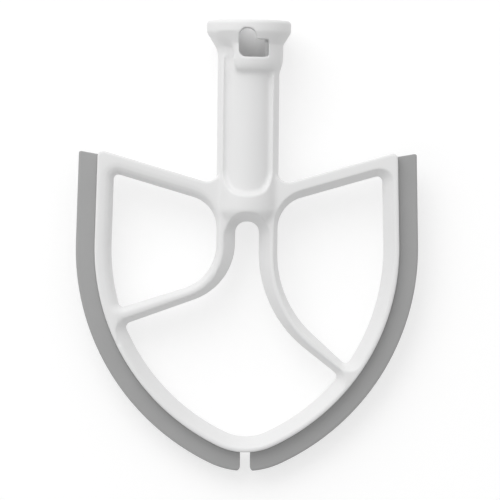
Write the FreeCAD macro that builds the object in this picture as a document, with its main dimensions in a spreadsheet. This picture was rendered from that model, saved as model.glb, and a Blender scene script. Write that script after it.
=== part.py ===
"""Flat beater for a stand mixer: a moulded frame with two soft scraper wings.

The frame stands in the XZ plane with +X to the right, +Y away from the viewer and +Z up along
the drive axis. The origin is the centre of the drive socket's mouth, so every drop in the sheet
is a depth below that mouth. Lengths are millimetres and angles degrees.
"""

import FreeCAD
import Part
import Sketcher

import math
import os

SIZES = {
    # Rim, as seen from the front
    "rim_half_width": 63.9,
    "widest_drop": 95.8,
    "side_radius": 91.4,
    "side_lean": 1.4,
    "tip_slope": 26.0,
    "tip_radius": 27.0,
    "rim_width": 7.1,
    "frame_depth": 12.0,
    "rim_round": 0.8,
    # Arms
    "arms_meet_drop": 72.9,
    "arm_slope": 16.3,
    "arm_width": 7.65,
    "arm_corner_round": 2.2,
    "arm_gusset_round": 6.0,
    "web_inset": 0.2,
    "web_rise": 14.9,
    # Legs, arch and ribs; each fall is measured from where the arms meet
    "leg_half_width": 12.9,
    "arch_half_width": 4.5,
    "arch_fall": 11.5,
    "arch_round": 4.1,
    "left_rib_fall": 31.1,
    "left_rib_width": 5.4,
    "left_rib_upper_slope": 17.7,
    "left_rib_lower_slope": 20.0,
    "right_rib_fall": 32.6,
    "right_rib_width": 12.8,
    "right_rib_upper_slope": 42.5,
    "right_rib_lower_slope": 38.0,
    "left_bend_upper_radius": 19.3,
    "left_bend_lower_radius": 26.0,
    "right_bend_upper_radius": 45.0,
    "right_bend_lower_radius": 51.7,
    "hub_corner_radius": 13.4,
    "window_corner_round": 1.8,
    "rib_join_angle": 4.0,
    # How far each window's edge opens out between the middle plane and the front face; a slant
    # is straight and a crown a quarter of an ellipse; at the rim it opens until the lip is left
    "arm_slant": 3.2,
    "rim_lip": 1.7,
    "rib_slant": 2.6,
    "leg_outer_slant": 1.7,
    "leg_inner_slant": 5.4,
    "arch_top_slant": 1.9,
    "arch_front_round": 8.4,
    "left_arm_crown": 4.8,
    # Stem, collar and socket
    "collar_radius": 17.7,
    "collar_side_drop": 5.0,
    "collar_flare_drop": 12.6,
    "collar_top_round": 1.6,
    "collar_lower_round": 3.0,
    "collar_neck_round": 8.0,
    "stem_radius": 12.95,
    "stem_taper_fall": 7.1,
    "stem_taper_length": 16.0,
    "stem_end_radius": 4.0,
    "stem_shoulder_round": 6.0,
    "stem_blend_round": 3.0,
    "bore_radius": 6.45,
    "bore_depth": 38.0,
    "mouth_chamfer": 0.4,
    # Recessed panel down the front of the stem; its walls lean by the slant for each depth
    "panel_depth": 2.2,
    "panel_half_width": 10.4,
    "panel_top_drop": 9.5,
    "panel_foot_gap": 6.2,
    "panel_corner_round": 6.0,
    "panel_slant": 0.8,
    "panel_floor_round": 1.4,
    # Boss over the pin slot; angles turn from the front towards +X
    "boss_radius": 14.5,
    "boss_centre_angle": 34.0,
    "boss_half_angle": 63.0,
    "boss_bottom_drop": 21.4,
    "boss_foot_step": 0.25,
    "boss_foot_rise": 3.4,
    "boss_round": 3.0,
    # Pin slot and the way in for the drive pin
    "slot_left": 4.1,
    "slot_right": 8.4,
    "slot_top_drop": 8.0,
    "slot_bottom_drop": 15.5,
    "slot_left_round": 3.2,
    "slot_right_round": 1.0,
    "notch_width": 7.1,
    "notch_top_drop": 3.4,
    "notch_round": 3.4,
    "notch_foot_round": 0.8,
    "pin_reach": 12.0,
    "key_angle": 55.0,
    "key_width": 6.8,
    "chamber_centre_angle": 30.0,
    "chamber_half_angle": 42.0,
    # Scraper wings and the groove that holds them
    "wing_width": 8.0,
    "wing_root_thickness": 3.4,
    "wing_edge_thickness": 1.9,
    "wing_edge_round": 0.8,
    "wing_gap": 4.2,
    "wing_top_gap": 2.1,
    "wing_top_slope": 10.0,
    "wing_corner_round": 2.0,
    "wing_top_round": 1.2,
    "tongue_depth": 2.2,
    "tongue_thickness": 2.4,
    "seat_clearance": 0.08,
    # Rounded inner edges of the windows, at the middle plane
    "window_waist_round": 1.2,
}

# Margins that move no surface: how far a cut starts outside the solid, and the shortest straight
# kept between two arcs
MARGINS = {"clear": "1", "short_straight": "0.2"}


def fill_sheet(doc):
    """Writes the driving dimensions into a sheet, one named cell each."""
    sheet = doc.addObject("Spreadsheet::Sheet", "Sizes")
    for row, (name, value) in enumerate(SIZES.items(), start=1):
        sheet.set(f"A{row}", name)
        sheet.set(f"B{row}", str(value))
        sheet.setAlias(f"B{row}", name)
    doc.recompute()
    return sheet


CELLS = {name: f"Sizes.{name}" for name in SIZES} | MARGINS


def cells(text):
    """Turns each {name} in a formula into a reference to that cell of the sheet, or its margin."""
    return text.format_map(CELLS)


def number(owner, formula):
    """Works a formula out as a plain number."""
    value = owner.evalExpression(formula)
    return float(getattr(value, "Value", value))


def bind(owner, index, formula):
    """Ties one constraint of a sketch to a formula."""
    owner.setExpression(f"Constraints[{index}]", formula)


def plane(body, role):
    """Finds one of a body's own origin planes or axes."""
    return next(item for item in body.Origin.OriginFeatures if item.Role == role)


def new_sketch(body, name, role, shift=None, turn=None):
    """Adds a sketch on an origin plane, moved along its normal or turned about its upright axis."""
    sketch = body.newObject("Sketcher::SketchObject", name)
    sketch.AttachmentSupport = (plane(body, role), [""])
    sketch.MapMode = "FlatFace"
    if turn:
        sketch.AttachmentOffset = FreeCAD.Placement(
            FreeCAD.Vector(), FreeCAD.Rotation(FreeCAD.Vector(0, 1, 0), 1)
        )
        sketch.setExpression("AttachmentOffset.Rotation.Angle", f"({turn}) * 1 deg")
    if shift:
        sketch.setExpression("AttachmentOffset.Base.z", shift)
    return sketch


def crossing(first, second):
    """Finds where two lines cross, each given by its outward normal's angle and its reach."""
    (angle_a, reach_a), (angle_b, reach_b) = first, second
    across = math.sin(angle_b - angle_a)
    x = (reach_a * math.sin(angle_b) - reach_b * math.sin(angle_a)) / across
    y = (reach_b * math.cos(angle_a) - reach_a * math.cos(angle_b)) / across
    return FreeCAD.Vector(x, y, 0)


def draw_sides(sketch, corners, rounds, closed=True):
    """Draws straight sides between corners, with a tangent arc at each rounded corner.

    Each round is a formula, or None for a sharp corner. The sides and arcs are joined and the
    radii bound. Gives back the sides' indices, one for each corner, from it to the next.
    """
    count = len(corners)
    sides = count if closed else count - 1
    starts, ends, arcs = {}, {}, {}
    for i in range(count):
        here = corners[i]
        starts[i] = ends[(i - 1) % count] = here
        if not rounds[i]:
            continue
        before = (corners[i - 1] - here).normalize()
        after = (corners[(i + 1) % count] - here).normalize()
        radius = number(sketch, rounds[i])
        half = before.getAngle(after) / 2
        reach = radius / math.tan(half)
        centre = here + (before + after).normalize() * (radius / math.sin(half))
        ends[(i - 1) % count] = here + before * reach
        starts[i] = here + after * reach
        arcs[i] = (centre, radius)
    lines = [sketch.addGeometry(Part.LineSegment(starts[i], ends[i])) for i in range(sides)]
    for i in range(count):
        if not closed and i in (0, count - 1):
            continue
        into, out = lines[i - 1], lines[i % sides]
        if i not in arcs:
            sketch.addConstraint(Sketcher.Constraint("Coincident", into, 2, out, 1))
            continue
        centre, radius = arcs[i]
        first, last = ends[(i - 1) % count] - centre, starts[i] - centre
        left_turn = first.cross(last).z > 0
        if not left_turn:
            first, last = last, first
        circle = Part.Circle(centre, FreeCAD.Vector(0, 0, 1), radius)
        from_angle = math.atan2(first.y, first.x)
        to_angle = math.atan2(last.y, last.x)
        arc = sketch.addGeometry(Part.ArcOfCircle(circle, from_angle, to_angle))
        near, far = (1, 2) if left_turn else (2, 1)
        sketch.addConstraint(Sketcher.Constraint("Tangent", into, 2, arc, near))
        sketch.addConstraint(Sketcher.Constraint("Tangent", arc, far, out, 1))
        bind(sketch, sketch.addConstraint(Sketcher.Constraint("Radius", arc, radius)), rounds[i])
    return lines


def outline(sketch, sides):
    """Draws a closed outline from its sides, anticlockwise, and binds every side and round.

    Each side is its heading, its reach outwards from the origin, and the round where it turns
    into the next side, all formulas.
    """
    found = []
    for heading, reach, _ in sides:
        found.append((math.radians(number(sketch, heading) - 90), number(sketch, reach)))
    corners = [crossing(found[i - 1], found[i]) for i in range(len(sides))]
    rounds = [sides[i - 1][2] for i in range(len(sides))]
    bind_sides(sketch, draw_sides(sketch, corners, rounds), sides, found)


def bind_sides(sketch, lines, sides, found):
    """Binds each drawn side's heading and reach, which were found as an angle and a distance."""
    for line, (heading, reach, _), (angle, distance) in zip(lines, sides, found):
        turn = Sketcher.Constraint("Angle", line, angle + math.pi / 2)
        bind(sketch, sketch.addConstraint(turn), f"({heading}) * 1 deg")
        sign = "-" if distance < 0 else ""
        away = Sketcher.Constraint("Distance", -1, 1, line, abs(distance))
        bind(sketch, sketch.addConstraint(away), f"{sign}({reach})")


def open_path(sketch, sides, start_x, end_y):
    """Draws an open path along its sides, from a place across to a height, and binds it."""
    found = []
    for heading, reach, _ in sides:
        found.append((math.radians(number(sketch, heading) - 90), number(sketch, reach)))
    upright = (0.0, number(sketch, start_x))
    level = (math.pi / 2, number(sketch, end_y))
    ordered = [upright, *found, level]
    corners = [crossing(ordered[i], ordered[i + 1]) for i in range(len(ordered) - 1)]
    lines = draw_sides(sketch, corners, [side[2] for side in sides] + [None], closed=False)
    bind_sides(sketch, lines, sides, found)
    start = Sketcher.Constraint("DistanceX", -1, 1, lines[0], 1, corners[0].x)
    bind(sketch, sketch.addConstraint(start), start_x)
    end = Sketcher.Constraint("DistanceY", -1, 1, lines[-1], 2, corners[-1].y)
    bind(sketch, sketch.addConstraint(end), end_y)


def pin_point(sketch, index, end, x, y):
    """Holds one point of a sketch at a place given by two formulas, or on an axis where one is 0."""
    for formula, kind, axis in ((x, "DistanceX", -2), (y, "DistanceY", -1)):
        if formula == "0":
            sketch.addConstraint(Sketcher.Constraint("PointOnObject", index, end, axis))
        else:
            place = Sketcher.Constraint(kind, -1, 1, index, end, number(sketch, formula))
            bind(sketch, sketch.addConstraint(place), formula)


def polygon(sketch, corners):
    """Draws a closed outline through corners, each an x and a y formula and a round or None."""
    places = [FreeCAD.Vector(number(sketch, x), number(sketch, y), 0) for x, y, _ in corners]
    lines = draw_sides(sketch, places, [corner[2] for corner in corners])
    for i, (x, y, rounding) in enumerate(corners):
        if not rounding:
            pin_point(sketch, lines[i], 1, x, y)
            continue
        point = sketch.addGeometry(Part.Point(places[i]), True)
        sketch.addConstraint(Sketcher.Constraint("PointOnObject", point, 1, lines[i - 1]))
        sketch.addConstraint(Sketcher.Constraint("PointOnObject", point, 1, lines[i]))
        pin_point(sketch, point, 1, x, y)


def rim_reach(angle, inset="0"):
    """Gives the reach of the rim's tangent at an angle below its widest point."""
    return cells(
        "({rim_half_width} - {side_radius}) * cos(" + angle + ")"
        " + {widest_drop} * sin(" + angle + ") + {side_radius} - (" + inset + ")"
    )


def slope_reach(slope, drop):
    """Gives the reach of a line that falls away from the axis at a slope, from a drop on it."""
    return drop + cells(" * cos({" + slope + "})")


def rib_join(slope, drop, margin):
    """Gives the angle below the rim's widest point where a rib's edge meets it, and a margin."""
    inner = "({side_radius} - {rim_width})"
    offset = (
        "((" + drop + " - {widest_drop}) * cos({" + slope + "})"
        " - ({side_radius} - {rim_half_width}) * sin({" + slope + "}))"
    )
    return cells(
        "(90 + {" + slope + "} - acos(" + offset + " / " + inner + ") / 1 deg"
        " " + margin + " {rib_join_angle})"
    )


SIDE = cells("-{side_lean}")
RIM_SLANT = cells("({rim_width} - {rim_lip})")
TIP = cells("(90 - {tip_slope})")
TIP_ROUND = cells(
    "min({tip_radius}; (({rim_half_width} - {side_radius} * (1 - sin({tip_slope}))) / cos({tip_slope})"
    " - {short_straight}) / tan({tip_slope}))"
)
TIP_DROP = cells(f"(({rim_reach(TIP)}) - {TIP_ROUND} * (1 - cos({{tip_slope}}))) / cos({{tip_slope}})")
ARM = slope_reach("arm_slope", cells("{arms_meet_drop}"))
WEB = cells("sqrt({stem_radius} ^ 2 - ({frame_depth} / 2) ^ 2) - {web_inset}")
ARCH_DROP = cells("({arms_meet_drop} + {arch_fall})")
LEFT_UPPER = cells("({arms_meet_drop} + {left_rib_fall})")
LEFT_LOWER = cells("({arms_meet_drop} + {left_rib_fall} + {left_rib_width})")
RIGHT_UPPER = cells("({arms_meet_drop} + {right_rib_fall})")
RIGHT_LOWER = cells("({arms_meet_drop} + {right_rib_fall} + {right_rib_width})")
TAPER_DROP = cells("({arms_meet_drop} + {stem_taper_fall})")
WING_TOP = cells("({arms_meet_drop} - {rim_half_width} * tan({arm_slope}) + {wing_top_gap})")
TRIM = cells("(2 * {wing_width})")

# Shares of the half depth at which a crowned edge is drawn
CROWN_STEPS = ("0.45", "0.75", "0.93", "1")

# Headings of upright and level sides
UP = "90"
LEFTWARDS = "180"
DOWN = "270"

# Tolerances: an edge's deviation from flat, in mm, and the turn that still counts as smooth
FLAT = 0.001
SMOOTH = math.radians(5)


def plate_sides():
    """Lists the sides of the frame's outer outline, from the tip up the right-hand side."""
    gusset = cells("{arm_gusset_round}")
    corner = cells("{arm_corner_round}")
    radius = cells("{side_radius}")
    return [
        (cells("{tip_slope}"), rim_reach(TIP), radius),
        (cells("90 + {side_lean}"), rim_reach(SIDE), corner),
        (cells("180 + {arm_slope}"), f"-{ARM}", gusset),
        (UP, WEB, None),
        (LEFTWARDS, cells("{web_rise} - {arms_meet_drop}"), None),
        (DOWN, WEB, gusset),
        (cells("180 - {arm_slope}"), f"-{ARM}", corner),
        (cells("270 - {side_lean}"), rim_reach(SIDE), radius),
        (cells("360 - {tip_slope}"), rim_reach(TIP), TIP_ROUND),
    ]


def opened(sides, share):
    """Moves each side of a window outwards by a share of its slant, and its rounds to suit."""
    moved = []
    for i, (heading, reach, rounding, slant) in enumerate(sides):
        after = sides[(i + 1) % len(sides)]
        turn = "-" if rounding.startswith("-") else "+"
        radius = rounding.lstrip("-")
        growth = f"({slant} + {after[3]}) / 2 * ({share})"
        moved.append((heading, f"{reach} + {slant} * ({share})", f"{radius} {turn} {growth}"))
    return moved


def crown(step):
    """Gives how far a crowned edge has opened at a share of the half depth."""
    return f"(1 - sqrt(1 - {step} ^ 2))"


def left_window():
    """Lists the sides of the left window, from the arm down the rim and back along the rib.

    Each side is its heading, reach, the round into the next side and its slant; a round marked
    with a minus turns the other way and shrinks as the window opens out.
    """
    join = rib_join("left_rib_upper_slope", LEFT_UPPER, "-")
    small = cells("{window_corner_round}")
    inner = cells("({side_radius} - {rim_width})")
    rim = cells("{rim_width}")
    return [
        (cells("180 - {arm_slope}"), cells(f"-{ARM} - {{arm_width}}"), small, cells("{left_arm_crown}")),
        (cells("270 - {side_lean}"), rim_reach(SIDE, rim), inner, RIM_SLANT),
        (f"270 + {join}", rim_reach(join, rim), small, RIM_SLANT),
        (
            cells("{left_rib_upper_slope}"),
            slope_reach("left_rib_upper_slope", LEFT_UPPER),
            cells("{left_bend_upper_radius}"),
            cells("{rib_slant}"),
        ),
        (UP, cells("-{leg_half_width}"), cells("{hub_corner_radius}"), cells("{leg_outer_slant}")),
    ]


def right_window():
    """Lists the sides of the right window, from the arm down the leg and the rib to the rim."""
    join = rib_join("right_rib_upper_slope", RIGHT_UPPER, "-")
    small = cells("{window_corner_round}")
    inner = cells("({side_radius} - {rim_width})")
    rim = cells("{rim_width}")
    return [
        (
            cells("180 + {arm_slope}"),
            cells(f"-{ARM} - {{arm_width}}"),
            cells("{hub_corner_radius}"),
            cells("{arm_slant}"),
        ),
        (DOWN, cells("-{leg_half_width}"), cells("{right_bend_upper_radius}"), cells("{leg_outer_slant}")),
        (
            cells("360 - {right_rib_upper_slope}"),
            slope_reach("right_rib_upper_slope", RIGHT_UPPER),
            small,
            cells("{rib_slant}"),
        ),
        (f"90 - {join}", rim_reach(join, rim), inner, RIM_SLANT),
        (cells("90 + {side_lean}"), rim_reach(SIDE, rim), small, RIM_SLANT),
    ]


def lower_window():
    """Lists the sides of the lower window, from the tip round the right rib, arch and left rib."""
    left_join = rib_join("left_rib_lower_slope", LEFT_LOWER, "+")
    right_join = rib_join("right_rib_lower_slope", RIGHT_LOWER, "+")
    small = cells("{window_corner_round}")
    inner = cells("({side_radius} - {rim_width})")
    rim = cells("{rim_width}")
    leg_slant = cells("{leg_inner_slant}")
    rib_slant = cells("{rib_slant}")
    arch = cells("min({arch_round}; {arch_half_width} - {short_straight})")
    right_reach = slope_reach("right_rib_lower_slope", RIGHT_LOWER)
    left_reach = slope_reach("left_rib_lower_slope", LEFT_LOWER)
    return [
        (cells("{tip_slope}"), rim_reach(TIP, rim), inner, RIM_SLANT),
        (f"90 - {right_join}", rim_reach(right_join, rim), small, RIM_SLANT),
        (
            cells("180 - {right_rib_lower_slope}"),
            f"-{right_reach}",
            cells("-{right_bend_lower_radius}"),
            rib_slant,
        ),
        (UP, cells("{arch_half_width}"), arch, leg_slant),
        (LEFTWARDS, f"-{ARCH_DROP}", arch, cells("{arch_top_slant}")),
        (DOWN, cells("{arch_half_width}"), cells("-{left_bend_lower_radius}"), leg_slant),
        (cells("180 + {left_rib_lower_slope}"), f"-{left_reach}", small, rib_slant),
        (f"270 + {left_join}", rim_reach(left_join, rim), inner, RIM_SLANT),
        (cells("360 - {tip_slope}"), rim_reach(TIP, rim), f"({TIP_ROUND} - {rim})", RIM_SLANT),
    ]


def raise_arch(sides, share):
    """Gives the lower window its wide front arch, with a crown that rises towards the front."""
    raised = []
    for heading, reach, rounding in sides:
        if heading in (UP, LEFTWARDS):
            rounding = cells("{arch_front_round}")
        if heading == LEFTWARDS:
            reach = f"-{ARCH_DROP} + " + cells("{arch_top_slant}") + f" * {share}"
        raised.append((heading, reach, rounding))
    return raised


def rim_band(inset, top):
    """Lists the sides of a shield that follows the rim's outer edge at an inset, up to a level top."""
    radius = cells("{side_radius}") + f" - ({inset})"
    return [
        (cells("{tip_slope}"), rim_reach(TIP, inset), radius),
        (cells("90 + {side_lean}"), rim_reach(SIDE, inset), None),
        (LEFTWARDS, top, None),
        (cells("270 - {side_lean}"), rim_reach(SIDE, inset), radius),
        (cells("360 - {tip_slope}"), rim_reach(TIP, inset), f"{TIP_ROUND} - ({inset})"),
    ]


def revolve(body, name, kind, corners, centre_angle=None, half_angle=None):
    """Turns a profile about the drive axis, all the way or to both sides of an angle."""
    turn = cells("{" + centre_angle + "} - 90") if centre_angle else None
    sketch = new_sketch(body, f"{name}_profile", "XZ_Plane", turn=turn)
    polygon(sketch, corners)
    feature = body.newObject(kind, name)
    feature.Profile = sketch
    feature.ReferenceAxis = (sketch, ["V_Axis"])
    if half_angle:
        feature.Midplane = True
        feature.setExpression("Angle", cells("2 * {" + half_angle + "} * 1 deg"))
    else:
        feature.Angle = 360
    return feature


def is_sharp(shape, edge):
    """Tells whether the two faces beside an edge meet at an angle rather than smoothly."""
    faces = shape.ancestorsOfType(edge, Part.Face)
    if len(faces) != 2:
        return False
    middle = edge.valueAt((edge.FirstParameter + edge.LastParameter) / 2)
    normals = [face.normalAt(*face.Surface.parameter(middle)) for face in faces]
    return normals[0].getAngle(normals[1]) > SMOOTH


def soften(body, name, radius, chosen):
    """Rounds the chosen sharp edges of the body as it stands."""
    body.Document.recompute()
    base = body.Tip
    edges = [
        f"Edge{i}"
        for i, edge in enumerate(base.Shape.Edges, start=1)
        if chosen(edge) and is_sharp(base.Shape, edge)
    ]
    rounded = body.newObject("PartDesign::Fillet", name)
    rounded.Base = (base, edges)
    rounded.setExpression("Radius", cells(radius))
    return rounded


def lies_at(edge, depth):
    """Tells whether an edge lies in a plane this far before or behind the middle plane."""
    box = edge.BoundBox
    return abs(abs(box.YMin) - depth) < FLAT and box.YLength < FLAT


def ends_at(edge, radius):
    """Tells whether both ends of an edge are this far from the drive axis."""
    return all(abs(math.hypot(end.X, end.Y) - radius) < FLAT for end in edge.Vertexes)


def build_plate(body):
    """Pads the frame's outline to its depth, half to the front and half to the back."""
    sketch = new_sketch(body, "plate_outline", "XZ_Plane")
    outline(sketch, plate_sides())
    plate = body.newObject("PartDesign::Pad", "plate")
    plate.Profile = sketch
    plate.Midplane = True
    plate.setExpression("Length", cells("{frame_depth}"))
    half = SIZES["frame_depth"] / 2
    soften(body, "rim_edges", "{rim_round}", lambda edge: lies_at(edge, half))


def build_stem(body):
    """Turns the stem with its flared collar about the drive axis and blends it into the plate."""
    end = f"-{TAPER_DROP} - " + cells("{stem_taper_length}")
    corners = [
        ("0", end, None),
        (cells("{stem_end_radius}"), end, None),
        (cells("{stem_radius}"), f"-{TAPER_DROP}", cells("{stem_shoulder_round}")),
        (cells("{stem_radius}"), cells("-{collar_flare_drop}"), cells("{collar_neck_round}")),
        (cells("{collar_radius}"), cells("-{collar_side_drop}"), cells("{collar_lower_round}")),
        (cells("{collar_radius}"), "0", cells("{collar_top_round}")),
        ("0", "0", None),
    ]
    revolve(body, "stem", "PartDesign::Revolution", corners)
    top = SIZES["web_rise"] - SIZES["arms_meet_drop"]
    soften(body, "stem_blend", "{stem_blend_round}", lambda edge: edge.CenterOfMass.z < top)


def loft_cut(body, name, sections):
    """Cuts straight from one outline to the next."""
    cut = body.newObject("PartDesign::SubtractiveLoft", name)
    cut.Profile = sections[0]
    cut.Sections = sections[1:]
    cut.Ruled = True
    return cut


def build_windows(body):
    """Cuts the three windows, each opening out from the middle plane to the front and back."""
    front = cells("{frame_depth} / 2")
    clear = cells("{frame_depth} / 2 + {clear}")
    beyond = cells("{stem_radius} + {clear}")
    crowned = [(f"{front} * {step}", opened(left_window(), crown(step))) for step in CROWN_STEPS]
    crowned.append((clear, opened(left_window(), "1")))
    straight = [(clear, opened(right_window(), f"({clear}) / ({front})"))]
    arched = [
        (shift, raise_arch(opened(lower_window(), "1"), f"({shift}) / ({front})"))
        for shift in (front, beyond)
    ]
    cuts = []
    for name, sides, ahead in (
        ("left_window", left_window(), crowned),
        ("right_window", right_window(), straight),
        ("lower_window", lower_window(), arched),
    ):
        sections = [new_sketch(body, f"{name}_middle", "XZ_Plane")]
        outline(sections[0], opened(sides, "0"))
        for place, (shift, front_sides) in enumerate(ahead, start=1):
            sections.append(new_sketch(body, f"{name}_front_{place}", "XZ_Plane", shift))
            outline(sections[-1], front_sides)
        cuts.append(loft_cut(body, name, sections))
    mirror = body.newObject("PartDesign::Mirrored", "windows_back")
    mirror.Originals = cuts
    mirror.MirrorPlane = (plane(body, "XZ_Plane"), [""])
    body.Tip = mirror
    soften(body, "window_waists", "{window_waist_round}", lambda edge: lies_at(edge, 0))


def build_panel(body):
    """Cuts the recessed panel into the stem's front, then makes its floor follow the stem."""
    brink = "sqrt({stem_radius} ^ 2 - {panel_half_width} ^ 2)"
    sections = []
    for label, depth, widen in (
        ("deep", brink + " - 2 * {panel_depth}", "0"),
        ("shallow", "{collar_radius} + {clear}", "{panel_corner_round} / 2"),
    ):
        sketch = new_sketch(body, f"panel_{label}", "XZ_Plane", cells(depth))
        half = cells("{panel_half_width} + (" + depth + " - " + brink + ") * {panel_slant}")
        rise = cells("{panel_foot_gap} + (" + depth + " - {stem_radius}) * {panel_slant}")
        foot = f"-({TAPER_DROP} - {rise})"
        rounding = cells("{panel_corner_round} + " + widen)
        top = cells("-{panel_top_drop}")
        polygon(
            sketch,
            [
                (f"-({half})", foot, rounding),
                (half, foot, rounding),
                (half, top, None),
                (f"-({half})", top, None),
            ],
        )
        sections.append(sketch)
    loft_cut(body, "panel", sections)
    floor = cells("{stem_radius} - {panel_depth}")
    top = cells("-{panel_top_drop} + {clear}")
    bottom = f"-{TAPER_DROP} + " + cells("{panel_foot_gap} - {clear}")
    corners = [("0", bottom, None), (floor, bottom, None), (floor, top, None), ("0", top, None)]
    revolve(body, "panel_floor", "PartDesign::Revolution", corners)
    radius = SIZES["stem_radius"] - SIZES["panel_depth"]
    soften(body, "panel_floor_edges", "{panel_floor_round}", lambda edge: ends_at(edge, radius))


def build_boss(body):
    """Adds the raised boss that stiffens the stem around the pin slot."""
    core = cells("{stem_radius} - 2 * {panel_depth}")
    face, foot = cells("{boss_radius}"), cells("{stem_radius} + {boss_foot_step}")
    top, bottom = cells("-{collar_side_drop}"), cells("-{boss_bottom_drop}")
    corners = [
        (core, bottom, None),
        (foot, bottom, None),
        (face, cells("-{boss_bottom_drop} + {boss_foot_rise}"), cells("{boss_round}")),
        (face, top, None),
        (core, top, None),
    ]
    revolve(body, "boss", "PartDesign::Revolution", corners, "boss_centre_angle", "boss_half_angle")


def build_socket(body):
    """Cuts the drive bore, the pin's way in, the chamber it turns through and the slot it shows in."""
    bore, mouth = cells("{bore_radius}"), cells("{bore_radius} + {mouth_chamfer}")
    corners = [
        ("0", cells("-{bore_depth}"), None),
        (bore, cells("-{bore_depth}"), None),
        (bore, cells("-{mouth_chamfer}"), None),
        (mouth, "0", None),
        ("0", "0", None),
    ]
    revolve(body, "bore", "PartDesign::Groove", corners)

    core, reach = cells("{bore_radius} / 2"), cells("{pin_reach}")
    top, bottom = cells("-{slot_top_drop}"), cells("-{slot_bottom_drop}")
    corners = [(core, bottom, None), (reach, bottom, None), (reach, top, None), (core, top, None)]
    revolve(body, "chamber", "PartDesign::Groove", corners, "chamber_centre_angle", "chamber_half_angle")

    sketch = new_sketch(body, "key_profile", "XZ_Plane", turn=cells("{key_angle} - 90"))
    above = cells("{clear}")
    corners = [(core, bottom, None), (reach, bottom, None), (reach, above, None), (core, above, None)]
    polygon(sketch, corners)
    cut = body.newObject("PartDesign::Pocket", "key_way")
    cut.Profile = sketch
    cut.Midplane = True
    cut.setExpression("Length", cells("{key_width}"))

    ahead = cells("{collar_radius} + {clear}")
    sketch = new_sketch(body, "slot_outline", "XZ_Plane", ahead)
    left, right = cells("-{slot_left}"), cells("{slot_right}")
    step, crown = cells("{notch_width} - {slot_left}"), cells("-{notch_top_drop}")
    polygon(
        sketch,
        [
            (left, bottom, cells("{slot_left_round}")),
            (right, bottom, cells("{slot_right_round}")),
            (right, top, cells("{slot_right_round}")),
            (step, top, cells("{notch_foot_round}")),
            (step, crown, cells("{notch_round}")),
            (left, crown, cells("{notch_round}")),
        ],
    )
    cut = body.newObject("PartDesign::Pocket", "pin_slot")
    cut.Profile = sketch
    cut.setExpression("Length", ahead)


def build_wing_groove(body):
    """Cuts the groove for the wings' tongues all along the rim's outer edge."""
    sketch = new_sketch(body, "groove_outline", "XZ_Plane")
    outline(sketch, rim_band(cells("-{wing_width}"), cells("{wing_width}")))
    outline(sketch, rim_band(cells("{tongue_depth}"), cells("{tongue_depth}")))
    cut = body.newObject("PartDesign::Pocket", "wing_groove")
    cut.Profile = sketch
    cut.Midplane = True
    cut.setExpression("Length", cells("{tongue_thickness} + 2 * {seat_clearance}"))


def build_frame(doc):
    """Builds the moulded frame."""
    body = doc.addObject("PartDesign::Body", "beater_frame")
    build_plate(body)
    build_stem(body)
    build_windows(body)
    build_panel(body)
    build_boss(body)
    build_socket(body)
    build_wing_groove(body)
    return body


def build_right_wing(doc):
    """Sweeps the right wing's section along the rim, from the tip up to the arm's corner."""
    body = doc.addObject("PartDesign::Body", "right_scraper_wing")
    start = cells("-{wing_gap}")
    path = new_sketch(body, "wing_path", "XZ_Plane")
    sides = [
        ("0", TIP_DROP, None),
        (cells("{tip_slope}"), rim_reach(TIP), TIP_ROUND),
        (cells("90 + {side_lean}"), rim_reach(SIDE), cells("{side_radius}")),
    ]
    open_path(path, sides, start, f"-{WING_TOP} + " + cells("{wing_width}"))
    section = new_sketch(body, "wing_section", "YZ_Plane", start)
    tongue, root = cells("{tongue_thickness} / 2"), cells("{wing_root_thickness} / 2")
    edge, rounding = cells("{wing_edge_thickness} / 2"), cells("{wing_edge_round}")
    inner = cells(f"{{tongue_depth}} - {{seat_clearance}} - ({TIP_DROP})")
    seat = cells(f"-{{seat_clearance}} - ({TIP_DROP})")
    outer = cells(f"-{{wing_width}} - ({TIP_DROP})")
    polygon(
        section,
        [
            (f"-{edge}", outer, rounding),
            (edge, outer, rounding),
            (root, seat, None),
            (tongue, seat, None),
            (tongue, inner, None),
            (f"-{tongue}", inner, None),
            (f"-{tongue}", seat, None),
            (f"-{root}", seat, None),
        ],
    )
    strip = body.newObject("PartDesign::AdditivePipe", "wing_strip")
    strip.Profile = section
    strip.Spine = (path, [])
    trim_wing(body)
    return body


def wing_top_corner():
    """Gives the place of a wing's outer top corner, where its sloping end meets its edge."""
    slope, lean = cells("tan({wing_top_slope})"), cells("{side_lean}")
    reach = rim_reach(SIDE, cells("-{wing_width}"))
    offset = f"({WING_TOP} + " + cells("{rim_half_width}") + f" * {slope})"
    across = f"(({reach}) + {offset} * sin({lean})) / (cos({lean}) + {slope} * sin({lean}))"
    return across, f"({across}) * {slope} - {offset}"


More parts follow.
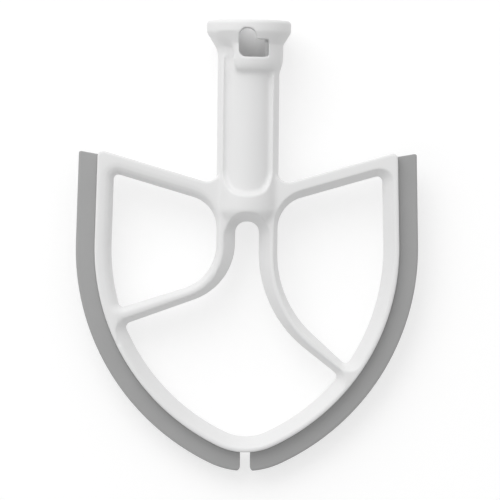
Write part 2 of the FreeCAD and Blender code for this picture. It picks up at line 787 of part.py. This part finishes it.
def trim_wing(body):
    """Trims the strip's ends, upright at the tip and sloping at the arm, with round corners."""
    sketch = new_sketch(body, "wing_ends", "XZ_Plane")
    far, gap = cells("-2 * {wing_gap}"), cells("{wing_gap} / 2")
    low, high = f"-({TIP_DROP}) - " + TRIM, f"-({TIP_DROP}) + " + TRIM
    past, sill = gap + cells(" + 2 * {wing_corner_round}"), f"-({TIP_DROP})" + cells(" - {wing_width}")
    polygon(
        sketch,
        [
            (far, low, None),
            (past, low, None),
            (past, sill, None),
            (gap, sill, cells("{wing_corner_round}")),
            (gap, high, None),
            (far, high, None),
        ],
    )
    inner, outer = cells("{rim_half_width} - ") + TRIM, cells("{rim_half_width} + ") + TRIM
    rise = TRIM + cells(" * tan({wing_top_slope})")
    edge = f"-{WING_TOP}"
    top = f"{edge} + 2 * " + TRIM
    across, height = wing_top_corner()
    below = height + cells(" - 4 * {wing_top_round}")
    polygon(
        sketch,
        [
            (inner, f"{edge} - {rise}", None),
            (across, height, cells("{wing_top_round}")),
            (across + cells(" + {wing_top_round}"), below, None),
            (outer, below, None),
            (outer, top, None),
            (inner, top, None),
        ],
    )
    cut = body.newObject("PartDesign::Pocket", "wing_trim")
    cut.Profile = sketch
    cut.Midplane = True
    cut.setExpression("Length", cells("2 * {wing_root_thickness}"))


def mirror_wing(doc, wing):
    """Mirrors the right wing to the left-hand side."""
    mirrored = doc.addObject("Part::Mirroring", "left_scraper_wing")
    mirrored.Source = wing
    mirrored.Base = FreeCAD.Vector(0, 0, 0)
    mirrored.Normal = FreeCAD.Vector(1, 0, 0)
    return mirrored


def main():
    """Builds the three pieces, checks them and writes each to its own file."""
    doc = FreeCAD.newDocument("flat_beater")
    fill_sheet(doc)
    frame = build_frame(doc)
    right_wing = build_right_wing(doc)
    pieces = [frame, right_wing, mirror_wing(doc, right_wing)]
    doc.recompute()
    failed = [item.Name for item in doc.Objects if {"Invalid", "Error"} & set(item.State)]
    if failed:
        raise RuntimeError(f"these objects failed: {failed}")
    for piece in pieces:
        if piece.Shape.isNull() or not piece.Shape.isValid():
            raise RuntimeError(f"{piece.Label} has no valid shape")
    os.makedirs("parts", exist_ok=True)
    for piece in pieces:
        piece.Shape.exportStep(f"parts/{piece.Label}.step")
        print(f"{piece.Label}: {len(piece.Shape.Solids)} solid, {piece.Shape.Volume / 1000:.2f} cm3")


main()
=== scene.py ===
"""Dresses the flat beater: its soft-edged white moulding, its grey scraper wings and the studio."""

import logging
import math
from dataclasses import dataclass
from enum import Enum

import bpy
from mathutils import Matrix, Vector

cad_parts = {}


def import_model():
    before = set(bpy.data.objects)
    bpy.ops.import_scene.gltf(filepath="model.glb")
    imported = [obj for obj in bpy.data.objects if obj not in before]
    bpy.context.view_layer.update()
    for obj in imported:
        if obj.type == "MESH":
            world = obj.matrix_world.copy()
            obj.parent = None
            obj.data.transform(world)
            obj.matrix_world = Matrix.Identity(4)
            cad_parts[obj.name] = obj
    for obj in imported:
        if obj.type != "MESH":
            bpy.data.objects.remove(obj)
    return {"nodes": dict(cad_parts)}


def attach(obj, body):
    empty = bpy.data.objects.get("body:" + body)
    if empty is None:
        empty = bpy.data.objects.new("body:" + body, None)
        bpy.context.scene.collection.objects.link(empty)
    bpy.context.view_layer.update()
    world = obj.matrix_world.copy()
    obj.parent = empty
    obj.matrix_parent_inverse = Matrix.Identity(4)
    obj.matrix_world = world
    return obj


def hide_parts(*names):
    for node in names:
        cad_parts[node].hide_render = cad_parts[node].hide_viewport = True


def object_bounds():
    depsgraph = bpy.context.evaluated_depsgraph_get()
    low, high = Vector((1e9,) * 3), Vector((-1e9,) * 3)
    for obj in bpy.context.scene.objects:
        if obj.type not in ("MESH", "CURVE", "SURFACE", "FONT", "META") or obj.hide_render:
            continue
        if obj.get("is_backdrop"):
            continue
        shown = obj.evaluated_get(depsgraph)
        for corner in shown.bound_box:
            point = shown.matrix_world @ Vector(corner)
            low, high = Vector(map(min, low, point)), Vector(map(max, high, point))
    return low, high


LOG = logging.getLogger("flat_beater")
MM = 0.001
BODY = "root"
MERGE_GAP = 0.001 * MM
UPRIGHT = math.radians(90)

Colour = tuple[float, float, float, float]
Place = tuple[float, float, float]


class Grain(Enum):
    """Names of the shared surface effects."""

    MOULDED = "moulded_grain"


class Side(Enum):
    """The two sides of the beater, as the lens sees them."""

    LEFT = "left"
    RIGHT = "right"


def grey(level: float) -> Colour:
    """Gives a neutral colour of a linear level."""
    return (level, level, level, 1.0)


def deselect_all() -> None:
    """Leaves object mode with nothing selected."""
    if bpy.context.object and bpy.context.object.mode != "OBJECT":
        bpy.ops.object.mode_set(mode="OBJECT")
    bpy.ops.object.select_all(action="DESELECT")


def pick(piece: bpy.types.Object) -> None:
    """Selects one object alone and makes it active.

    Args:
        piece: The object to work on next.
    """
    deselect_all()
    piece.select_set(True)
    bpy.context.view_layer.objects.active = piece


def apply_modifier(piece: bpy.types.Object, kind: str, **settings: object) -> None:
    """Adds a modifier, sets it and applies it.

    Args:
        piece: The object that gets it.
        kind: Blender's name for the kind of modifier.
        settings: The modifier's own settings.
    """
    modifier = piece.modifiers.new(kind.lower(), kind)
    for name, value in settings.items():
        setattr(modifier, name, value)
    pick(piece)
    bpy.ops.object.modifier_apply(modifier=modifier.name)


def copy_of_node(node: bpy.types.Object, name: str) -> bpy.types.Object:
    """Copies a CAD node as a new object and merges its loose triangles.

    Args:
        node: The node's object.
        name: The new piece's name.

    Returns:
        The new object, at the origin, with its place in its mesh.
    """
    mesh = node.data.copy()
    mesh.name = name
    mesh.materials.clear()
    piece = bpy.data.objects.new(name, mesh)
    bpy.context.scene.collection.objects.link(piece)
    pick(piece)
    bpy.ops.object.mode_set(mode="EDIT")
    bpy.ops.mesh.select_all(action="SELECT")
    bpy.ops.mesh.remove_doubles(threshold=MERGE_GAP)
    bpy.ops.mesh.normals_make_consistent(inside=False)
    bpy.ops.object.mode_set(mode="OBJECT")
    return piece


def triangle_count(piece: bpy.types.Object) -> int:
    """Counts the triangles of a mesh."""
    piece.data.calc_loop_triangles()
    return len(piece.data.loop_triangles)


# The grain's fine bumps, and the slow drift of tone at a share of their scale
FINE_DETAIL = 3.0
FINE_ROUGHNESS = 0.6
DRIFT_SHARE = 0.03
DRIFT_DETAIL = 2.0
USUAL_GRAIN_SCALE = 1000.0


def moulded_grain() -> bpy.types.ShaderNodeTree:
    """Builds the shared fine grain of a moulded surface, once.

    Returns:
        A node group with a Scale input, a Height output for bump, and a Tone output from 0 to 1
        that drifts slowly over the surface.
    """
    made = bpy.data.node_groups.get(Grain.MOULDED.value)
    if made:
        return made
    group = bpy.data.node_groups.new(Grain.MOULDED.value, "ShaderNodeTree")
    scale = group.interface.new_socket("Scale", in_out="INPUT", socket_type="NodeSocketFloat")
    scale.default_value = USUAL_GRAIN_SCALE
    group.interface.new_socket("Height", in_out="OUTPUT", socket_type="NodeSocketFloat")
    group.interface.new_socket("Tone", in_out="OUTPUT", socket_type="NodeSocketFloat")
    nodes, links = group.nodes, group.links
    entry = nodes.new("NodeGroupInput")
    leave = nodes.new("NodeGroupOutput")
    place = nodes.new("ShaderNodeTexCoord")
    fine = nodes.new("ShaderNodeTexNoise")
    fine.inputs["Detail"].default_value = FINE_DETAIL
    fine.inputs["Roughness"].default_value = FINE_ROUGHNESS
    slower = nodes.new("ShaderNodeMath")
    slower.operation = "MULTIPLY"
    slower.inputs[1].default_value = DRIFT_SHARE
    drift = nodes.new("ShaderNodeTexNoise")
    drift.inputs["Detail"].default_value = DRIFT_DETAIL
    links.new(place.outputs["Object"], fine.inputs["Vector"])
    links.new(entry.outputs["Scale"], fine.inputs["Scale"])
    links.new(entry.outputs["Scale"], slower.inputs[0])
    links.new(place.outputs["Object"], drift.inputs["Vector"])
    links.new(slower.outputs["Value"], drift.inputs["Scale"])
    links.new(fine.outputs["Fac"], leave.inputs["Height"])
    links.new(drift.outputs["Fac"], leave.inputs["Tone"])
    return group


@dataclass(frozen=True)
class Finish:
    """How one moulded material looks.

    The colour drifts between two tones, the roughness between two values, and the grain stands
    on the surface as a fine bump.
    """

    name: str
    tones: tuple[Colour, Colour]
    roughness: tuple[float, float]
    grain_scale: float
    grain_depth: float
    grain_strength: float
    specular: float

    def material(self) -> bpy.types.Material:
        """Builds the material, once.

        Returns:
            The material with this finish.
        """
        made = bpy.data.materials.get(self.name)
        if made:
            return made
        material = bpy.data.materials.new(self.name)
        material.use_nodes = True
        nodes, links = material.node_tree.nodes, material.node_tree.links
        shader = nodes["Principled BSDF"]
        shader.inputs["Specular IOR Level"].default_value = self.specular
        grain = nodes.new("ShaderNodeGroup")
        grain.node_tree = moulded_grain()
        grain.inputs["Scale"].default_value = self.grain_scale
        colour = nodes.new("ShaderNodeMix")
        colour.data_type = "RGBA"
        colour.inputs["A"].default_value = self.tones[0]
        colour.inputs["B"].default_value = self.tones[1]
        gloss = nodes.new("ShaderNodeMapRange")
        gloss.inputs["To Min"].default_value = self.roughness[0]
        gloss.inputs["To Max"].default_value = self.roughness[1]
        bump = nodes.new("ShaderNodeBump")
        bump.inputs["Strength"].default_value = self.grain_strength
        bump.inputs["Distance"].default_value = self.grain_depth
        links.new(grain.outputs["Tone"], colour.inputs["Factor"])
        links.new(colour.outputs["Result"], shader.inputs["Base Color"])
        links.new(grain.outputs["Height"], gloss.inputs["Value"])
        links.new(gloss.outputs["Result"], shader.inputs["Roughness"])
        links.new(grain.outputs["Height"], bump.inputs["Height"])
        links.new(bump.outputs["Normal"], shader.inputs["Normal"])
        return material


WHITE_MOULDING = Finish(
    name="white_moulding",
    tones=(grey(0.79), grey(0.81)),
    roughness=(0.40, 0.52),
    grain_scale=1600.0,
    grain_depth=0.03 * MM,
    grain_strength=0.25,
    specular=0.4,
)

GREY_RUBBER = Finish(
    name="grey_rubber",
    tones=(grey(0.365), grey(0.39)),
    roughness=(0.62, 0.78),
    grain_scale=2200.0,
    grain_depth=0.03 * MM,
    grain_strength=0.35,
    specular=0.3,
)


@dataclass(frozen=True)
class SoftZone:
    """A box, in millimetres, within which a moulding is relaxed further than elsewhere.

    It is relaxed all ways, which makes its edges rounder, or in depth only, which keeps its
    outline as it is.
    """

    name: str
    low: Place
    high: Place
    passes: int
    depth_only: bool = False

    def mark(self, piece: bpy.types.Object) -> str:
        """Puts the vertices inside the box into a group of their own.

        Args:
            piece: The moulding.

        Returns:
            The group's name.
        """
        low = [value * MM for value in self.low]
        high = [value * MM for value in self.high]
        inside = [
            vertex.index
            for vertex in piece.data.vertices
            if all(least < place < most for least, place, most in zip(low, vertex.co, high))
        ]
        piece.vertex_groups.new(name=self.name).add(inside, 1.0, "REPLACE")
        return self.name


@dataclass
class MouldedPiece:
    """A CAD node given the soft edges of a moulding.

    The node is remeshed finely, its edges are relaxed, more so in its soft zones, and the result
    is thinned where it has too many triangles.
    """

    node: str
    name: str
    slot: str
    finish: Finish
    grid: float
    zones: tuple[SoftZone, ...] = ()
    relax_passes: int = 5
    relax_factor: float = 0.5
    most_triangles: int = 180_000

    def build(self, nodes: dict[str, bpy.types.Object]) -> bpy.types.Object:
        """Shapes the piece.

        Args:
            nodes: The CAD nodes by name.

        Returns:
            The finished object.
        """
        piece = copy_of_node(nodes[self.node], self.name)
        apply_modifier(piece, "REMESH", mode="VOXEL", voxel_size=self.grid)
        apply_modifier(piece, "SMOOTH", factor=self.relax_factor, iterations=self.relax_passes)
        for zone in self.zones:
            apply_modifier(
                piece,
                "SMOOTH",
                factor=self.relax_factor,
                iterations=zone.passes,
                vertex_group=zone.mark(piece),
                use_x=not zone.depth_only,
                use_z=not zone.depth_only,
            )
        count = triangle_count(piece)
        if count > self.most_triangles:
            apply_modifier(piece, "DECIMATE", ratio=self.most_triangles / count)
        pick(piece)
        bpy.ops.object.shade_smooth()
        LOG.info("%s: %d triangles, from %d", self.name, triangle_count(piece), count)
        return piece

    def dress(self, piece: bpy.types.Object) -> None:
        """Gives the piece its finish and its place in the frame.

        Args:
            piece: The shaped object.
        """
        piece.data.materials.append(self.finish.material())
        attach(piece, BODY)
        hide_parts(self.node)


# Depths in millimetres that are past the front and the back of the whole beater
PAST_FRONT = -20.0
PAST_BACK = 20.0

FRAME_ZONES = (
    SoftZone("boss_foot", low=(-9.0, PAST_FRONT, -23.5), high=(15.5, 2.0, -16.2), passes=120),
    SoftZone("boss_side", low=(-9.5, PAST_FRONT, -22.0), high=(-4.8, -6.0, -7.0), passes=60),
    SoftZone("window_sill", low=(-5.5, PAST_FRONT, -18.0), high=(10.5, -8.0, -14.6), passes=14),
    SoftZone("panel_top", low=(-13.0, PAST_FRONT, -16.0), high=(-5.2, -4.0, -5.0), passes=400),
    SoftZone(
        "left_rib",
        low=(-54.0, PAST_FRONT, -137.0),
        high=(-13.0, PAST_BACK, -100.0),
        passes=150,
        depth_only=True,
    ),
)

FRAME = MouldedPiece(
    node="beater_frame",
    name="moulded_frame",
    slot="frame",
    finish=WHITE_MOULDING,
    grid=0.42 * MM,
    zones=FRAME_ZONES,
)


def scraper_wing(side: Side) -> MouldedPiece:
    """Describes the scraper wing of one side.

    Args:
        side: The side of the beater.

    Returns:
        The wing, ready to build.
    """
    return MouldedPiece(
        node=f"{side.value}_scraper_wing",
        name=f"{side.value}_wing",
        slot="wing",
        finish=GREY_RUBBER,
        grid=0.26 * MM,
    )


def seen_directly(nodes: bpy.types.Nodes, links: bpy.types.NodeLinks) -> bpy.types.NodeSocket:
    """Adds nodes that give 1 for what the lens, a reflection or a clear surface looks at.

    Args:
        nodes: The nodes of the material or world.
        links: Its links.

    Returns:
        The output socket that holds the value.
    """
    path = nodes.new("ShaderNodeLightPath")
    total = path.outputs["Is Camera Ray"]
    for name in ("Is Glossy Ray", "Is Transmission Ray"):
        either = nodes.new("ShaderNodeMath")
        either.operation = "MAXIMUM"
        links.new(total, either.inputs[0])
        links.new(path.outputs[name], either.inputs[1])
        total = either.outputs["Value"]
    return total


@dataclass
class Studio:
    """A white surface close behind the beater, a floor below it, soft light and a long lens.

    Lengths are in metres, the roll is in degrees and the lamp's power in watts. The backing's top
    and foot are points of its slope, each a depth and a height.
    """

    middle: Vector
    lens_distance: float = 2.0
    lens_reach: float = 20.0
    pixel: float = 0.42 * MM
    picture_side: int = 500
    aim: tuple[float, float] = (1.3 * MM, -96.2 * MM)
    roll: float = -0.55
    backing_top: tuple[float, float] = (17.9 * MM, -3.0 * MM)
    backing_foot: tuple[float, float] = (9.5 * MM, -181.0 * MM)
    backing_side: float = 1.6
    backing_tone: float = 0.52
    backing_lift: float = 0.53
    floor_level: float = -0.215
    floor_side: float = 6.0
    key_towards: Place = (-0.38, -0.70, 0.68)
    key_distance: float = 1.6
    key_side: float = 1.4
    key_power: float = 8.4
    world_level: float = 0.73
    world_lean: Place = (-0.09, 0.0, 0.26)
    world_seen: float = 1.0

    def build(self) -> None:
        """Sets up the whole studio."""
        self.light_world()
        self.add_key_light()
        white = self.backing_material()
        self.add_backing(white)
        self.add_floor(white)
        self.add_camera()

    def light_world(self) -> None:
        """Lights the object from all round, more from above and the left, in front of pure white."""
        world = bpy.data.worlds.new("studio")
        bpy.context.scene.world = world
        world.use_nodes = True
        nodes, links = world.node_tree.nodes, world.node_tree.links
        backdrop = nodes["Background"]
        backdrop.inputs["Color"].default_value = grey(1.0)
        place = nodes.new("ShaderNodeTexCoord")
        lean = nodes.new("ShaderNodeVectorMath")
        lean.operation = "DOT_PRODUCT"
        lean.inputs[1].default_value = self.world_lean
        links.new(place.outputs["Generated"], lean.inputs[0])
        around = nodes.new("ShaderNodeMath")
        around.operation = "ADD"
        around.inputs[1].default_value = self.world_level
        links.new(lean.outputs["Value"], around.inputs[0])
        level = nodes.new("ShaderNodeMix")
        level.data_type = "FLOAT"
        level.inputs["B"].default_value = self.world_seen
        links.new(seen_directly(nodes, links), level.inputs["Factor"])
        links.new(around.outputs["Value"], level.inputs["A"])
        links.new(level.outputs["Result"], backdrop.inputs["Strength"])

    def add_key_light(self) -> None:
        """Adds the one soft lamp, above and to the left of the lens."""
        towards = Vector(self.key_towards).normalized()
        deselect_all()
        bpy.ops.object.light_add(type="AREA", location=self.middle + towards * self.key_distance)
        lamp = bpy.context.object
        lamp.name = "key_light"
        lamp.rotation_euler = towards.to_track_quat("Z", "Y").to_euler()
        lamp.data.shape = "DISK"
        lamp.data.size = self.key_side
        lamp.data.energy = self.key_power

    def backing_material(self) -> bpy.types.Material:
        """Builds the backing's matte white, which only the lens and reflections see.

        Returns:
            The material, clear from behind.
        """
        material = bpy.data.materials.new("backing_white")
        material.use_nodes = True
        nodes, links = material.node_tree.nodes, material.node_tree.links
        nodes.remove(nodes["Principled BSDF"])
        white = nodes.new("ShaderNodeBsdfDiffuse")
        white.inputs["Color"].default_value = grey(self.backing_tone)
        lift = nodes.new("ShaderNodeEmission")
        lift.inputs["Strength"].default_value = self.backing_lift
        both = nodes.new("ShaderNodeAddShader")
        links.new(white.outputs["BSDF"], both.inputs[0])
        links.new(lift.outputs["Emission"], both.inputs[1])
        clear = nodes.new("ShaderNodeBsdfTransparent")
        side = nodes.new("ShaderNodeNewGeometry")
        front = nodes.new("ShaderNodeMath")
        front.operation = "SUBTRACT"
        front.inputs[0].default_value = 1.0
        links.new(side.outputs["Backfacing"], front.inputs[1])
        shown = nodes.new("ShaderNodeMath")
        shown.operation = "MULTIPLY"
        links.new(front.outputs["Value"], shown.inputs[0])
        links.new(seen_directly(nodes, links), shown.inputs[1])
        choice = nodes.new("ShaderNodeMixShader")
        links.new(shown.outputs["Value"], choice.inputs["Fac"])
        links.new(clear.outputs["BSDF"], choice.inputs[1])
        links.new(both.outputs["Shader"], choice.inputs[2])
        links.new(choice.outputs["Shader"], nodes["Material Output"].inputs["Surface"])
        return material

    def add_backing(self, white: bpy.types.Material) -> None:
        """Adds the white surface that the beater lies against, seen only from its front.

        Args:
            white: The surface's material.
        """
        (top_y, top_z), (foot_y, foot_z) = self.backing_top, self.backing_foot
        centre = Vector((0.0, (top_y + foot_y) / 2, (top_z + foot_z) / 2))
        lean = math.atan2(top_y - foot_y, top_z - foot_z)
        deselect_all()
        bpy.ops.mesh.primitive_plane_add(size=self.backing_side, location=centre)
        surface = bpy.context.object
        surface.name = "backing"
        surface.rotation_euler = (UPRIGHT - lean, 0.0, 0.0)
        surface.data.materials.append(white)
        surface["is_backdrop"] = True

    def add_floor(self, white: bpy.types.Material) -> None:
        """Adds the pale floor below the beater's tip.

        Args:
            white: The floor's material.
        """
        deselect_all()
        bpy.ops.mesh.primitive_plane_add(size=self.floor_side, location=(0.0, 0.0, self.floor_level))
        floor = bpy.context.object
        floor.name = "floor"
        floor.data.materials.append(white)
        floor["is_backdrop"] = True

    def add_camera(self) -> None:
        """Adds the long lens at the photograph's angle, with its slight roll."""
        deselect_all()
        across, height = self.aim
        bpy.ops.object.camera_add(location=(across, -self.lens_distance, height))
        camera = bpy.context.object
        camera.name = "camera"
        camera.rotation_mode = "XYZ"
        camera.rotation_euler = (UPRIGHT, math.radians(self.roll), 0.0)
        width = self.pixel * self.picture_side
        camera.data.lens = camera.data.sensor_width * self.lens_distance / width
        camera.data.clip_end = self.lens_reach
        bpy.context.scene.camera = camera


def corners(box: tuple[Vector, Vector]) -> list[list[float]]:
    """Turns a box into plain lists."""
    return [[float(value) for value in corner] for corner in box]


def main() -> None:
    """Builds every piece and the studio."""
    logging.basicConfig(level=logging.INFO, format="%(name)s: %(message)s")
    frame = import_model()
    cad_box = corners(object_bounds())
    bpy.context.scene.view_settings.view_transform = "Standard"
    for piece in (FRAME, *(scraper_wing(side) for side in Side)):
        piece.dress(piece.build(frame["nodes"]))
    low, high = (Vector(corner) for corner in cad_box)
    Studio(middle=(low + high) / 2).build()


if __name__ == "__main__":
    main()
